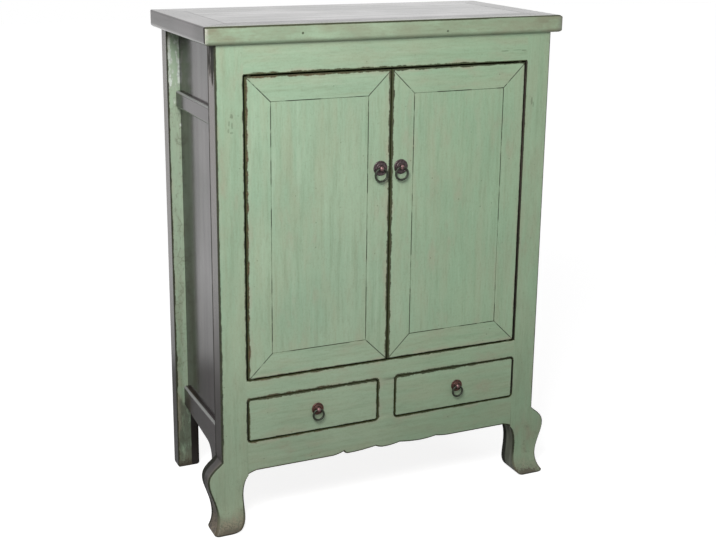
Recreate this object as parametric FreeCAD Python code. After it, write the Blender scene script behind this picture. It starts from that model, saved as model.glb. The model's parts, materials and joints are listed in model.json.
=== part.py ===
"""Green lacquered cabinet with two pivoted doors, two drawers and cabriole front legs.

Millimetres, +Z up, front towards -Y. The origin is on the floor under the middle of the cabinet.
The right half is modelled and mirrored wherever the two sides are alike.
"""
import FreeCAD, Part
import os
from FreeCAD import Vector

# Overall sizes
HEIGHT = 1222.0
DEPTH = 454.0
TOE_REACH = 24.0
FRAME_HALF = 434.0
TOP_HALF = 460.0
TOP_THICK = 42.0
TOP_OVERHANG = 12.0
TOP_BACK_OVERHANG = 6.0
TOP_RAIL_WIDTH = 70.0

# Posts
POST_WIDTH = 66.0
POST_DEPTH = 54.0
BACK_POST_WIDTH = 58.0
BACK_POST_DEPTH = 42.0
FOOT_CHAMFER = 4.0

# Levels of the front frame above the floor
APRON_BOTTOM = 147.5
DRAWER_SILL = 225.0
DRAWER_HEAD = 337.0
DOOR_SILL = 383.0
DOOR_HEAD = 1112.0
DIVIDER_HALF = 22.5

# Levels and recesses of the sides
SIDE_APRON_TOP = 235.0
SIDE_RAIL_BOTTOM = 983.0
SIDE_RAIL_TOP = 1025.0
SIDE_RAIL_RECESS = 20.0
SIDE_RAIL_THICK = 25.0
PANEL_RECESS = 32.0
PANEL_THICK = 10.0
GROOVE = 8.0

# Front frame timber and its tenons
RAIL_DEPTH = 38.0
MIDDLE_RAIL_DEPTH = 44.0
APRON_DEPTH = 28.0
TENON_LENGTH = 26.0
BACK_TENON_LENGTH = 16.0
TENON_THICK = 14.0
TENON_SHOULDER = 12.0

# Doors
DOOR_GAP = 4.0
MEETING_GAP = 4.0
DOOR_THICK = 22.0
DOOR_PANEL_INNER = 60.0
DOOR_PANEL_OUTER = 304.0
DOOR_PANEL_BOTTOM = 445.0
DOOR_PANEL_TOP = 1049.0
DOOR_PANEL_THICK = 14.0
HAIRLINE = 0.6
TONGUE_THICK = 6.0
STILE_ROUND = 5.0
PIVOT_INSET = 11.0
PIVOT_RADIUS = 6.0
PIVOT_LENGTH = 12.0
PIVOT_CLEARANCE = 0.08
PIVOT_END_PLAY = 0.3

# Drawers
DRAWER_GAP = 3.0
DRAWER_CORNER_ROUND = 6.0
DRAWER_FRONT_THICK = 20.0
DRAWER_LENGTH = 350.0
DRAWER_SIDE_THICK = 11.0
DRAWER_SIDE_HEIGHT = 92.0
DRAWER_SIDE_INSET = 4.0
DRAWER_LAP = 12.0
DRAWER_BOTTOM_THICK = 7.0
DRAWER_BOTTOM_LIFT = 8.0
DRAWER_GROOVE = 5.0
RUNNING_GAP = 0.4

# Ring pulls: plate radius, ring centre-line radius, ring wire radius, ball radius, hole radius
DOOR_PULL = {"plate": 18.0, "ring": 15.6, "wire": 2.6, "ball": 6.0, "hole": 3.95}
DRAWER_PULL = {"plate": 15.5, "ring": 13.6, "wire": 2.5, "ball": 5.8, "hole": 3.9}
DOOR_PULL_X = 27.0
DOOR_PULL_Z = 874.0
LEFT_DRAWER_PULL_X = -187.0
RIGHT_DRAWER_PULL_X = 200.0
DRAWER_PULL_Z = 284.0
PLATE_BOSS = 2.8
BALL_STAND_OFF = 0.75
PIN_RADIUS = 1.9

# Inside
BOARD_THICK = 16.0
FLOOR_DROP = 2.0
SHELF_TOP = 750.0
SHELF_CLEARANCE = 4.0
CLEAT = 20.0
BATTEN_WIDTH = 40.0
BATTEN_X = 190.0

# Places worked out from the sizes above
FRONT = TOE_REACH - DEPTH / 2
BACK = DEPTH / 2 - TOP_BACK_OVERHANG
TOP_UNDER = HEIGHT - TOP_THICK
OPENING_HALF = FRAME_HALF - POST_WIDTH
PANEL_OUT = FRAME_HALF - PANEL_RECESS
PANEL_IN = PANEL_OUT - PANEL_THICK
SIDE_FRONT = FRONT + POST_DEPTH
SIDE_BACK = BACK - BACK_POST_DEPTH
BACK_INNER = FRAME_HALF - BACK_POST_WIDTH

parts = {}


def box(x0, x1, y0, y1, z0, z1):
    return Part.makeBox(x1 - x0, y1 - y0, z1 - z0, Vector(x0, y0, z0))


def mirrored(shape):
    return shape.mirror(Vector(0, 0, 0), Vector(1, 0, 0))


def cut_all(shape, tools):
    for tool in tools:
        shape = shape.cut(tool)
    return shape


def segments(points):
    return [Part.LineSegment(a, b).toShape() for a, b in zip(points, points[1:])]


def curve(points):
    spline = Part.BSplineCurve()
    spline.interpolate(points)
    return spline.toShape()


def arc(start, middle, end):
    return Part.Arc(start, middle, end).toShape()


def extruded(edges, direction):
    return Part.Face(Part.Wire(edges)).extrude(direction)


def rod(radius, start, end):
    start, end = Vector(*start), Vector(*end)
    return Part.makeCylinder(radius, (end - start).Length, start, end - start)


def tenoned_rail(half, y0, y1, z0, z1, tenon_length=TENON_LENGTH):
    """A rail between two posts, with a tenon on each end."""
    middle, reach = (y0 + y1) / 2, half + tenon_length
    tenon = box(-reach, reach, middle - TENON_THICK / 2, middle + TENON_THICK / 2, z0 + TENON_SHOULDER,
                z1 - TENON_SHOULDER)
    return box(-half, half, y0, y1, z0, z1).fuse(tenon)


# Front leg: the front and side outlines of one timber, crossed
LEG_OUTER = [(FRAME_HALF, 181), (448, 171), (460, 160), (468, 147), (470, 135), (461, 97), (449.5, 54),
             (453, 22), (462, 7)]
LEG_HEEL = [(462, 7), (460, 2), (455, 0)]
LEG_INNER = [(403, 0), (388.5, 6.3), (379.5, 20), (377, 38), (378.5, 57), (380.5, 88), (373.5, 128.5),
             (OPENING_HALF, 140)]
LEG_FRONT = [(0, 200), (-0.5, 172), (-1, 140), (-0.6, 100), (-1.5, 70), (-6, 42), (-17, 18), (-TOE_REACH, 7)]
LEG_TOE = [(-TOE_REACH, 7), (-22, 2), (-17, 0)]
LEG_REACH = 480.0
TOP_TENON = 24.0
TOP_TENON_HEIGHT = 20.0


def top_tenon(x, y):
    half = TOP_TENON / 2
    return box(x - half, x + half, y - half, y + half, TOP_UNDER, TOP_UNDER + TOP_TENON_HEIGHT)


def front_leg():
    def in_front(points):
        return [Vector(x, FRONT - TOE_REACH, z) for x, z in points]

    def from_side(points):
        return [Vector(0, FRONT + y, z) for y, z in points]

    post_edges = [LEG_INNER[-1], (OPENING_HALF, TOP_UNDER), (FRAME_HALF, TOP_UNDER), LEG_OUTER[0]]
    sole = [LEG_HEEL[-1], LEG_INNER[0]]
    elevation = [curve(in_front(LEG_OUTER)), arc(*in_front(LEG_HEEL)), *segments(in_front(sole)),
                 curve(in_front(LEG_INNER)), *segments(in_front(post_edges))]
    back_edges = [LEG_TOE[-1], (POST_DEPTH, 0), (POST_DEPTH, TOP_UNDER), (0, TOP_UNDER), LEG_FRONT[0]]
    profile = [curve(from_side(LEG_FRONT)), arc(*from_side(LEG_TOE)), *segments(from_side(back_edges))]
    leg = extruded(elevation, Vector(0, TOE_REACH + POST_DEPTH, 0))
    leg = leg.common(extruded(profile, Vector(LEG_REACH, 0, 0)))
    return leg.fuse(top_tenon(FRAME_HALF - POST_WIDTH / 2, FRONT + POST_DEPTH / 2))


def back_post():
    post = box(BACK_INNER, FRAME_HALF, SIDE_BACK, BACK, 0, TOP_UNDER)
    foot = [edge for edge in post.Edges if edge.BoundBox.ZMax < FOOT_CHAMFER]
    post = post.makeChamfer(FOOT_CHAMFER, foot)
    return post.fuse(top_tenon(FRAME_HALF - BACK_POST_WIDTH / 2, BACK - BACK_POST_DEPTH / 2))


# Front frame: top rail and middle rail with pivot sockets, divider and shaped apron
PIVOT_X = OPENING_HALF - DOOR_GAP - PIVOT_INSET
PIVOT_Y = FRONT + PIVOT_INSET
DIVIDER_TENON = 12.0
APRON_EAR = 346.0
APRON_EAR_BOW = 3.0
APRON_CUSP_BOW = 0.33
APRON_CUSPS = [(-145, -115, -106, 7), (-92, -27, -8, 6), (6, 41, 94, 5), (104, 145, 180, 4)]


def corner_ear(x, z, along_x, along_z):
    """The small hollow fillet left in a corner of a drawer opening, to match the drawer's round corner."""
    radius = DRAWER_CORNER_ROUND + DRAWER_GAP
    near = radius * (1 - 0.5 ** 0.5)
    corner = Vector(x, FRONT, z)
    start = Vector(x + along_x * radius, FRONT, z)
    middle = Vector(x + along_x * near, FRONT, z + along_z * near)
    end = Vector(x, FRONT, z + along_z * radius)
    edges = [arc(start, middle, end), *segments([end, corner, start])]
    return extruded(edges, Vector(0, DRAWER_FRONT_THICK, 0))


def corner_ears(z, along_z):
    """Four ears along one level, at both ends of both drawer openings."""
    ears = [corner_ear(DIVIDER_HALF, z, 1, along_z), corner_ear(OPENING_HALF, z, -1, along_z)]
    return ears + [mirrored(ear) for ear in ears]


def socket(z0, z1):
    return rod(PIVOT_RADIUS + PIVOT_CLEARANCE, (PIVOT_X, PIVOT_Y, z0), (PIVOT_X, PIVOT_Y, z1))


def front_apron():
    """The lower edge runs level from ear to ear, broken by four small cusps cut by hand."""
    def at(x, z):
        return Vector(x, FRONT, z)

    ear_mid = (APRON_EAR + OPENING_HALF) / 2
    ear_drop, ear_bow = LEG_INNER[-1][1], APRON_BOTTOM - APRON_EAR_BOW
    edges = [arc(at(-OPENING_HALF, ear_drop), at(-ear_mid, ear_bow), at(-APRON_EAR, APRON_BOTTOM))]
    last = -APRON_EAR
    for rise, tip, fall, height in APRON_CUSPS:
        edges += segments([at(last, APRON_BOTTOM), at(rise, APRON_BOTTOM)])
        bow = APRON_BOTTOM + height * APRON_CUSP_BOW
        edges.append(arc(at(rise, APRON_BOTTOM), at((rise + tip) / 2, bow), at(tip, APRON_BOTTOM + height)))
        edges.append(arc(at(tip, APRON_BOTTOM + height), at((tip + fall) / 2, bow), at(fall, APRON_BOTTOM)))
        last = fall
    edges += segments([at(last, APRON_BOTTOM), at(APRON_EAR, APRON_BOTTOM)])
    edges.append(arc(at(APRON_EAR, APRON_BOTTOM), at(ear_mid, ear_bow), at(OPENING_HALF, ear_drop)))
    edges += segments([at(OPENING_HALF, ear_drop), at(OPENING_HALF, DRAWER_SILL),
                       at(-OPENING_HALF, DRAWER_SILL), at(-OPENING_HALF, ear_drop)])
    straight_bottom = APRON_BOTTOM + TENON_SHOULDER
    tenons = tenoned_rail(OPENING_HALF, FRONT, FRONT + APRON_DEPTH, straight_bottom, DRAWER_SILL)
    return extruded(edges, Vector(0, APRON_DEPTH, 0)).fuse(tenons).removeSplitter()


def front_frame():
    upper = socket(DOOR_HEAD, DOOR_HEAD + PIVOT_LENGTH + PIVOT_END_PLAY)
    lower = socket(DOOR_SILL - PIVOT_LENGTH - PIVOT_END_PLAY, DOOR_SILL)
    divider = box(-DIVIDER_HALF, DIVIDER_HALF, FRONT, FRONT + RAIL_DEPTH, DRAWER_SILL, DRAWER_HEAD)
    divider = divider.fuse(box(-DIVIDER_HALF + TENON_SHOULDER, DIVIDER_HALF - TENON_SHOULDER,
                               FRONT + TENON_SHOULDER, FRONT + APRON_DEPTH - GROOVE,
                               DRAWER_SILL - DIVIDER_TENON, DRAWER_HEAD + DIVIDER_TENON))
    top_rail = tenoned_rail(OPENING_HALF, FRONT, FRONT + RAIL_DEPTH, DOOR_HEAD, TOP_UNDER)
    middle_rail = tenoned_rail(OPENING_HALF, FRONT, FRONT + MIDDLE_RAIL_DEPTH, DRAWER_HEAD, DOOR_SILL)
    parts["front_top_rail"] = cut_all(top_rail, [upper, mirrored(upper)])
    middle_rail = middle_rail.fuse(corner_ears(DRAWER_HEAD, -1))
    apron = front_apron().fuse(corner_ears(DRAWER_SILL, 1))
    parts["front_middle_rail"] = cut_all(middle_rail, [lower, mirrored(lower), divider])
    parts["front_apron"] = apron.cut(divider)
    parts["drawer_divider"] = divider


# Sides: rails tenoned between the posts, panels held in grooves
RAIL_OUT = FRAME_HALF - SIDE_RAIL_RECESS
RAIL_IN = RAIL_OUT - SIDE_RAIL_THICK
SIDE_TENON = 22.0
SIDE_APRON_BACK = 181.0
SIDE_BRACKET = [(SIDE_FRONT + 130, 162), (SIDE_FRONT + 107, 151), (SIDE_FRONT + 98, 130)]
SIDE_BRACKET_TIP = [(SIDE_FRONT + 98, 130), (SIDE_FRONT + 93, 117), (SIDE_FRONT + 80, 112)]


def side_tenon(x_in, x_out, z0, z1):
    middle = (x_in + x_out) / 2
    return box(middle - TENON_THICK / 2, middle + TENON_THICK / 2, SIDE_FRONT - SIDE_TENON,
               SIDE_BACK + SIDE_TENON, z0, z1)


def side_apron():
    """The lower edge slopes down from the back post and drops in a bracket behind the front leg."""
    bracket = [Vector(RAIL_IN, y, z) for y, z in SIDE_BRACKET]
    tip = [Vector(RAIL_IN, y, z) for y, z in SIDE_BRACKET_TIP]
    corners = [(SIDE_FRONT, tip[-1].z), (SIDE_FRONT, SIDE_APRON_TOP), (SIDE_BACK, SIDE_APRON_TOP),
               (SIDE_BACK, SIDE_APRON_BACK)]
    rest = [tip[-1], *[Vector(RAIL_IN, y, z) for y, z in corners], bracket[0]]
    board = extruded([arc(*bracket), arc(*tip), *segments(rest)], Vector(SIDE_RAIL_THICK, 0, 0))
    return board.fuse(side_tenon(RAIL_IN, RAIL_OUT, SIDE_APRON_BACK + GROOVE, SIDE_APRON_TOP - GROOVE))


def side_frame():
    """Right side: rails, apron and panels."""
    front, back = SIDE_FRONT - GROOVE, SIDE_BACK + GROOVE
    upper_panel = box(PANEL_IN, PANEL_OUT, front, back, SIDE_RAIL_TOP - GROOVE, TOP_UNDER)
    lower_panel = box(PANEL_IN, PANEL_OUT, front, back, SIDE_APRON_TOP - GROOVE, SIDE_RAIL_BOTTOM + GROOVE)
    rail = box(RAIL_IN, RAIL_OUT, SIDE_FRONT, SIDE_BACK, SIDE_RAIL_BOTTOM, SIDE_RAIL_TOP)
    rail = rail.fuse(side_tenon(RAIL_IN, RAIL_OUT, SIDE_RAIL_BOTTOM + GROOVE, SIDE_RAIL_TOP - GROOVE))
    top_rail_in = PANEL_IN - SIDE_RAIL_THICK
    top_rail = box(top_rail_in, PANEL_IN, SIDE_FRONT, SIDE_BACK, DOOR_HEAD + BOARD_THICK, TOP_UNDER)
    side = {"upper_side_panel": upper_panel, "lower_side_panel": lower_panel,
            "upper_side_rail": cut_all(rail, [upper_panel, lower_panel]),
            "side_apron": side_apron().cut(lower_panel)}
    return side, top_rail


# Back: three rails and two panels between the back posts
BACK_RAIL_SET = 10.0
BACK_RAIL_THICK = 26.0
BACK_RAILS = [(175.0, 235.0), (345.0, DOOR_SILL), (DOOR_HEAD, TOP_UNDER)]
BACK_FRONT = BACK - BACK_RAIL_SET - BACK_RAIL_THICK


def back_frame():
    rails = [tenoned_rail(BACK_INNER, BACK_FRONT, BACK - BACK_RAIL_SET, z0, z1, BACK_TENON_LENGTH)
             for z0, z1 in BACK_RAILS]
    middle = (BACK_FRONT + BACK - BACK_RAIL_SET) / 2
    half, near, far = BACK_INNER + GROOVE, middle - PANEL_THICK / 2, middle + PANEL_THICK / 2
    panels = [box(-half, half, near, far, below[1] - GROOVE, above[0] + GROOVE)
              for below, above in zip(BACK_RAILS, BACK_RAILS[1:])]
    rails = [cut_all(rail, panels) for rail in rails]
    parts["back_rails"] = Part.makeCompound(rails)
    parts["back_panels"] = Part.makeCompound(panels)
    return rails + panels


# Top: a mitred frame round a flush panel, with battens under it
TOP_EDGE_ROUND = 3.0
TOP_LEFT_ROUND = 4.0
TOP_RIGHT_ROUND = 11.0
TOP_CORNER_ROUND = 8.0
TOP_UNDER_ROUND = 11.0
TOP_PANEL_THICK = 14.0
MITRE_TENON = (413.0, 437.0)
MITRE_TENON_DEPTH = 36.0
MITRE_TENON_THICK = 14.0


def moulded_edge(length, over):
    """A straight top rail along X, its moulded edge towards -Y, laid from the outer edge at Y = 0."""
    def at(y, z):
        return Vector(-length / 2, y, z)

    under = TOP_UNDER_ROUND
    corner = 1 - 0.5 ** 0.5
    edges = [arc(at(under, TOP_UNDER), at(under * corner, TOP_UNDER + under * corner),
                 at(0, TOP_UNDER + under)),
             *segments([at(0, TOP_UNDER + under), at(0, HEIGHT - over)]),
             arc(at(0, HEIGHT - over), at(over * corner, HEIGHT - over * corner), at(over, HEIGHT)),
             *segments([at(over, HEIGHT), at(TOP_RAIL_WIDTH, HEIGHT), at(TOP_RAIL_WIDTH, TOP_UNDER),
                        at(under, TOP_UNDER)])]
    return extruded(edges, Vector(length, 0, 0))


def mitred(rail, length):
    """Cuts both ends of a moulded rail at 45 degrees, keeping its long side at Y = 0."""
    half = length / 2
    keep = [Vector(-half, 0, 0), Vector(half, 0, 0), Vector(half - TOP_RAIL_WIDTH, TOP_RAIL_WIDTH, 0),
            Vector(TOP_RAIL_WIDTH - half, TOP_RAIL_WIDTH, 0), Vector(-half, 0, 0)]
    return rail.common(extruded(segments(keep), Vector(0, 0, HEIGHT)))


def top_frame(post_tenons):
    front_edge, back_edge = FRONT - TOP_OVERHANG, BACK + TOP_BACK_OVERHANG
    depth, centre = back_edge - front_edge, (back_edge + front_edge) / 2
    front = mitred(moulded_edge(2 * TOP_HALF, TOP_EDGE_ROUND), 2 * TOP_HALF)
    front.translate(Vector(0, front_edge, 0))
    outline = box(-TOP_HALF, TOP_HALF, front_edge, back_edge, TOP_UNDER, HEIGHT)
    corners = [edge for edge in outline.Edges if edge.BoundBox.ZLength > TOP_THICK / 2]
    outline = outline.makeFillet(TOP_CORNER_ROUND, corners)
    front = front.common(outline)
    back = front.mirror(Vector(0, centre, 0), Vector(0, 1, 0))

    middle = TOP_UNDER + TOP_THICK / 2
    tenons = [box(*MITRE_TENON, start, start + MITRE_TENON_DEPTH, middle - MITRE_TENON_THICK / 2,
                  middle + MITRE_TENON_THICK / 2)
              for start in (front_edge + BOARD_THICK, back_edge - BOARD_THICK - MITRE_TENON_DEPTH)]

    def end_piece(over):
        end = mitred(moulded_edge(depth, over), depth)
        end.rotate(Vector(0, 0, 0), Vector(0, 0, 1), 90)
        end.translate(Vector(TOP_HALF, centre, 0))
        return end.common(outline).fuse(tenons)

    x, y0, y1 = TOP_HALF - TOP_RAIL_WIDTH, front_edge + TOP_RAIL_WIDTH, back_edge - TOP_RAIL_WIDTH
    under = HEIGHT - TOP_PANEL_THICK
    panel = box(-x + HAIRLINE, x - HAIRLINE, y0 + HAIRLINE, y1 - HAIRLINE, under, HEIGHT)
    panel = panel.fuse(box(-x - GROOVE, x + GROOVE, y0 - GROOVE, y1 + GROOVE, under, under + TONGUE_THICK))
    battens = [box(x_mid - BATTEN_WIDTH / 2, x_mid + BATTEN_WIDTH / 2, y0 - GROOVE, y1 + GROOVE,
                   under - BOARD_THICK, under) for x_mid in (-BATTEN_X, BATTEN_X)]

    ends = [end_piece(TOP_RIGHT_ROUND), mirrored(end_piece(TOP_LEFT_ROUND))]
    inserts = [panel, *battens, *post_tenons]
    parts["top_panel"] = panel
    parts["top_battens"] = Part.makeCompound(battens)
    parts["top_front_rail"] = cut_all(front, inserts + ends)
    parts["top_back_rail"] = cut_all(back, inserts + ends)
    parts["top_right_end"] = cut_all(ends[0], inserts)
    parts["top_left_end"] = cut_all(ends[1], inserts)


# Inside: cabinet floor, shelf on cleats, drawer runners with guides
def inside():
    posts = [box(OPENING_HALF, FRAME_HALF, FRONT, SIDE_FRONT, 0, HEIGHT),
             box(BACK_INNER, FRAME_HALF, SIDE_BACK, BACK, 0, HEIGHT)]
    posts += [mirrored(post) for post in posts]
    floor_top = DOOR_SILL - FLOOR_DROP
    floor = box(-PANEL_IN, PANEL_IN, FRONT + MIDDLE_RAIL_DEPTH - GROOVE, BACK_FRONT,
                floor_top - BOARD_THICK, floor_top)
    parts["cabinet_floor"] = cut_all(floor, posts)
    parts["front_middle_rail"] = parts["front_middle_rail"].cut(floor)
    parts["shelf"] = box(-PANEL_IN, PANEL_IN, SIDE_FRONT + SHELF_CLEARANCE, SIDE_BACK - SHELF_CLEARANCE,
                         SHELF_TOP - BOARD_THICK, SHELF_TOP)
    cleat = box(PANEL_IN - CLEAT, PANEL_IN, SIDE_FRONT, SIDE_BACK, SHELF_TOP - BOARD_THICK - CLEAT,
                SHELF_TOP - BOARD_THICK)
    parts["shelf_cleats"] = Part.makeCompound([cleat, mirrored(cleat)])

    runner_top = DRAWER_SILL + DRAWER_GAP
    runner_under = runner_top - CLEAT
    guide_top = runner_top + CLEAT
    guide_in = OPENING_HALF - DRAWER_GAP - DRAWER_SIDE_INSET / 2
    runner = box(OPENING_HALF - CLEAT, OPENING_HALF, FRONT + APRON_DEPTH, BACK_FRONT, runner_under,
                 runner_top)
    runner = runner.fuse(box(guide_in, OPENING_HALF, SIDE_FRONT, BACK_FRONT, runner_top, guide_top))
    middle_runner = box(-2 * CLEAT, 2 * CLEAT, FRONT + APRON_DEPTH, BACK_FRONT, runner_under, runner_top)
    middle_runner = middle_runner.cut(parts["drawer_divider"])
    middle_guide = DIVIDER_HALF + DRAWER_GAP + DRAWER_SIDE_INSET / 2
    guide = box(-middle_guide, middle_guide, FRONT + RAIL_DEPTH, BACK_FRONT, runner_top, guide_top)
    middle_runner = middle_runner.fuse(guide)
    parts["drawer_runners"] = Part.makeCompound([runner, mirrored(runner), middle_runner])


# Ring pull: beaded plate, ball-headed split pin clinched behind, and a hanging ring
CLINCH_LENGTH = 12.0
CLINCH_THICK = 1.6
PLATE_TURNING = [(0, 0), (1, 0), (1, 1.4), (0.94, 2.2), (0.86, 2.2), (0.8, 1.4), (0.62, 1.6), (0.56, 2.4),
                 (0.46, 2.4), (0.4, 1.8), (0.3, PLATE_BOSS), (0, PLATE_BOSS), (0, 0)]


def add_pull(name, size, x, z, behind):
    """Plate, pin and ring on the front face at x, z; the pin is clinched behind a board of that thickness."""
    radius = size["plate"]
    outline = segments([Vector(share * radius, -height, 0) for share, height in PLATE_TURNING])
    plate = Part.Face(Part.Wire(outline)).revolve(Vector(0, 0, 0), Vector(0, 1, 0), 360)

    ball_y = -PLATE_BOSS - size["ball"] * BALL_STAND_OFF
    ball = Part.makeSphere(size["ball"], Vector(0, ball_y, 0))
    ball = ball.cut(rod(size["hole"], (-radius, ball_y, 0), (radius, ball_y, 0)))
    ball = ball.cut(box(-radius, radius, -PLATE_BOSS, radius, -radius, radius))
    shank = rod(PIN_RADIUS, (0, -PLATE_BOSS, 0), (0, behind, 0))
    clinch = box(-CLINCH_LENGTH, CLINCH_LENGTH, behind, behind + CLINCH_THICK, -PIN_RADIUS, PIN_RADIUS)
    pin = ball.fuse(shank).fuse(clinch)
    ring = Part.makeTorus(size["ring"], size["wire"], Vector(0, ball_y, -size["ring"]), Vector(0, 1, 0))
    for piece, shape in (("plate", plate.cut(shank)), ("pin", pin), ("ring", ring)):
        parts[name + "_pull_" + piece] = shape.translated(Vector(x, FRONT, z))
    return shank.translated(Vector(x, FRONT, z))


# Right door, mirrored for the left: mitred frame round a flush panel
DOOR_TENON = (12.0, 38.0)
DOOR_TENON_THICK = 7.0


def door(name, side):
    """One door of the pair: side is 1 on the right and -1 on the left."""
    inner, outer = MEETING_GAP / 2, OPENING_HALF - DOOR_GAP
    bottom, top = DOOR_SILL + DOOR_GAP, DOOR_HEAD - DOOR_GAP
    in_x, out_x, in_bottom, in_top = DOOR_PANEL_INNER, DOOR_PANEL_OUTER, DOOR_PANEL_BOTTOM, DOOR_PANEL_TOP

    def member(corners):
        points = [Vector(x, FRONT, z) for x, z in [*corners, corners[0]]]
        return extruded(segments(points), Vector(0, DOOR_THICK, 0))

    slab = box(inner, outer, FRONT, FRONT + DOOR_THICK, bottom, top)
    hinge_arris = [edge for edge in slab.Edges if edge.BoundBox.XMin > in_x and edge.BoundBox.YMax < PIVOT_Y
                   and edge.BoundBox.ZMin < edge.BoundBox.ZMax - DOOR_THICK]
    slab = slab.makeFillet(STILE_ROUND, hinge_arris)
    reach = DOOR_GAP + PIVOT_LENGTH
    pivots = [rod(PIVOT_RADIUS, (PIVOT_X, PIVOT_Y, z - reach), (PIVOT_X, PIVOT_Y, z + reach))
              for z in (bottom, top)]
    hinge = member([(outer, bottom), (outer, top), (out_x, in_top), (out_x, in_bottom)]).common(slab)
    meeting = member([(inner, bottom), (in_x, in_bottom), (in_x, in_top), (inner, top)])
    top_rail = member([(inner, top), (in_x, in_top), (out_x, in_top), (outer, top)])
    bottom_rail = member([(inner, bottom), (outer, bottom), (out_x, in_bottom), (in_x, in_bottom)])
    rails = {"top": top_rail.common(slab), "bottom": bottom_rail.common(slab)}

    middle = FRONT + DOOR_THICK / 2
    near, far = DOOR_TENON
    for rail, z0 in (("top", in_top + near), ("bottom", in_bottom - far)):
        tenon = box(in_x - far, out_x + far, middle - DOOR_TENON_THICK / 2, middle + DOOR_TENON_THICK / 2,
                    z0, z0 + far - near)
        rails[rail] = cut_all(rails[rail].fuse(tenon), pivots)

    panel = box(in_x + HAIRLINE, out_x - HAIRLINE, FRONT, FRONT + DOOR_PANEL_THICK, in_bottom + HAIRLINE,
                in_top - HAIRLINE)
    tongue = box(in_x - GROOVE, out_x + GROOVE, middle - TONGUE_THICK, middle, in_bottom - GROOVE,
                 in_top + GROOVE)
    panel = panel.fuse(tongue)

    hinge = cut_all(hinge, [*rails.values(), tongue])
    pieces = {"hinge_stile": hinge.fuse(pivots), "meeting_stile": cut_all(meeting, [*rails.values(), tongue]),
              "top_rail": rails["top"].cut(tongue), "bottom_rail": rails["bottom"].cut(tongue),
              "panel": panel}
    for piece, shape in pieces.items():
        parts[name + "_" + piece] = shape if side > 0 else mirrored(shape)
    shank = add_pull(name, DOOR_PULL, side * DOOR_PULL_X, DOOR_PULL_Z, DOOR_THICK)
    parts[name + "_meeting_stile"] = parts[name + "_meeting_stile"].cut(shank)


# Drawers: front lapped over the sides, back between them, bottom in grooves
def drawer(name, side, pull_x):
    """One drawer of the pair: side is 1 on the right and -1 on the left."""
    x0, x1 = DIVIDER_HALF + DRAWER_GAP, OPENING_HALF - DRAWER_GAP
    z0, z1 = DRAWER_SILL + DRAWER_GAP, DRAWER_HEAD - DRAWER_GAP
    low = z0 + RUNNING_GAP
    front = box(x0, x1, FRONT, FRONT + DRAWER_FRONT_THICK, z0, z1)
    corners = [edge for edge in front.Edges if edge.BoundBox.YLength > DRAWER_FRONT_THICK / 2]
    front = front.makeFillet(DRAWER_CORNER_ROUND, corners)
    lap = FRONT + DRAWER_FRONT_THICK - DRAWER_LAP
    tail = FRONT + DRAWER_LENGTH
    left, right = x0 + DRAWER_SIDE_INSET, x1 - DRAWER_SIDE_INSET
    thick = DRAWER_SIDE_THICK
    sides = [box(left, left + thick, lap, tail, low, low + DRAWER_SIDE_HEIGHT),
             box(right - thick, right, lap, tail, low, low + DRAWER_SIDE_HEIGHT)]
    under = low + DRAWER_BOTTOM_LIFT
    bottom = box(left + thick - DRAWER_GROOVE, right - thick + DRAWER_GROOVE,
                 FRONT + DRAWER_FRONT_THICK - DRAWER_GROOVE, tail, under, under + DRAWER_BOTTOM_THICK)
    back = box(left + thick - DRAWER_GROOVE, right - thick + DRAWER_GROOVE, tail - 2 * thick, tail - thick,
               under + DRAWER_BOTTOM_THICK, low + DRAWER_SIDE_HEIGHT - DRAWER_GROOVE)
    sides = [cut_all(board, [bottom, back]) for board in sides]
    pieces = {"front": cut_all(front, [*sides, bottom]), "sides": Part.makeCompound(sides), "back": back,
              "bottom": bottom}
    for piece, shape in pieces.items():
        parts[name + "_" + piece] = shape if side > 0 else mirrored(shape)
    shank = add_pull(name, DRAWER_PULL, pull_x, DRAWER_PULL_Z, DRAWER_FRONT_THICK)
    parts[name + "_front"] = parts[name + "_front"].cut(shank)


front_frame()
right_side, top_side_rail = side_frame()
back_inserts = back_frame()
inside()
parts["top_side_rails"] = Part.makeCompound([top_side_rail, mirrored(top_side_rail)])

leg, post = front_leg(), back_post()
front_rails = [parts["front_top_rail"], parts["front_middle_rail"], parts["front_apron"]]
leg_inserts = [*front_rails, *right_side.values()]
cut_leg = cut_all(leg, leg_inserts)
cut_post = cut_all(post, [*back_inserts, *right_side.values()])
for side, shape_of in (("right", lambda shape: shape), ("left", mirrored)):
    parts["front_" + side + "_leg"] = shape_of(cut_leg)
    parts["back_" + side + "_post"] = shape_of(cut_post)
    for name, shape in right_side.items():
        parts[side + "_" + name] = shape_of(shape)
top_frame([leg, mirrored(leg), post, mirrored(post)])

door("right_door", 1)
door("left_door", -1)
drawer("right_drawer", 1, RIGHT_DRAWER_PULL_X)
drawer("left_drawer", -1, LEFT_DRAWER_PULL_X)

os.makedirs("parts", exist_ok=True)
for name, shape in parts.items():
    shape.exportStep("parts/" + name + ".step")
print(len(parts), "nodes")
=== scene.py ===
import json
import math
from collections import namedtuple

import bmesh
import bpy
from mathutils import Euler, Matrix, Vector


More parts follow.
